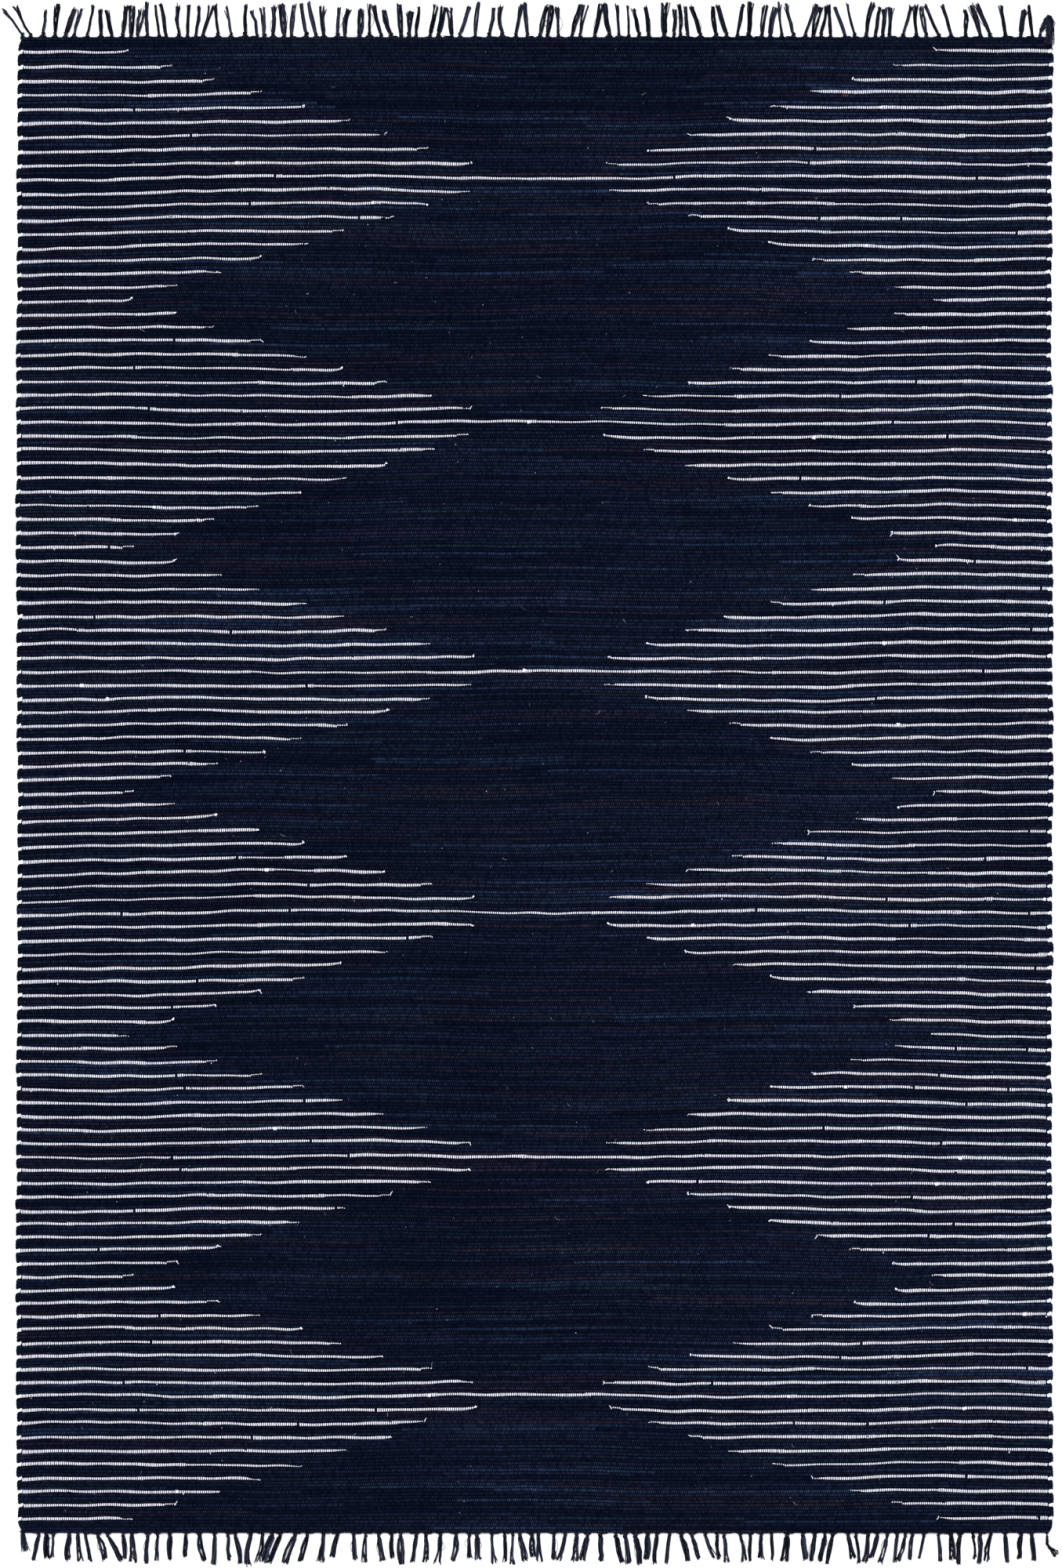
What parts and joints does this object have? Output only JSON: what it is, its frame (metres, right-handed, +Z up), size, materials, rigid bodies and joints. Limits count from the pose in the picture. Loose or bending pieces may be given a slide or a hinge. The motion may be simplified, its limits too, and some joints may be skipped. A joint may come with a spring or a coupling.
{
  "type": "rag rug",
  "caption": "Flat handwoven rag rug: navy cloth with off-white rows stepping in from both selvedges in a zigzag, and knotted fringe on both ends.",
  "frame": {"origin": "on the floor under the middle of the whole rug, fringe included", "axes": "+X across the rug towards the right selvedge, +Y along it towards the top fringe, +Z up"},
  "size_m": [1.6426, 2.418, 0.0062],
  "materials": {
    "navy_rag_cloth": "woven cotton rags, navy ground with off-white rows, dull",
    "off_white_rag": "off-white cotton rag rows, raised on the navy cloth, dull",
    "warp_fringe": "knotted dark navy cotton yarn, dull"
  },
  "bodies": {
    "root": {"rug_cloth": "navy_rag_cloth", "fringe_top": "warp_fringe", "fringe_bottom": "warp_fringe"}
  },
  "joints": []
}
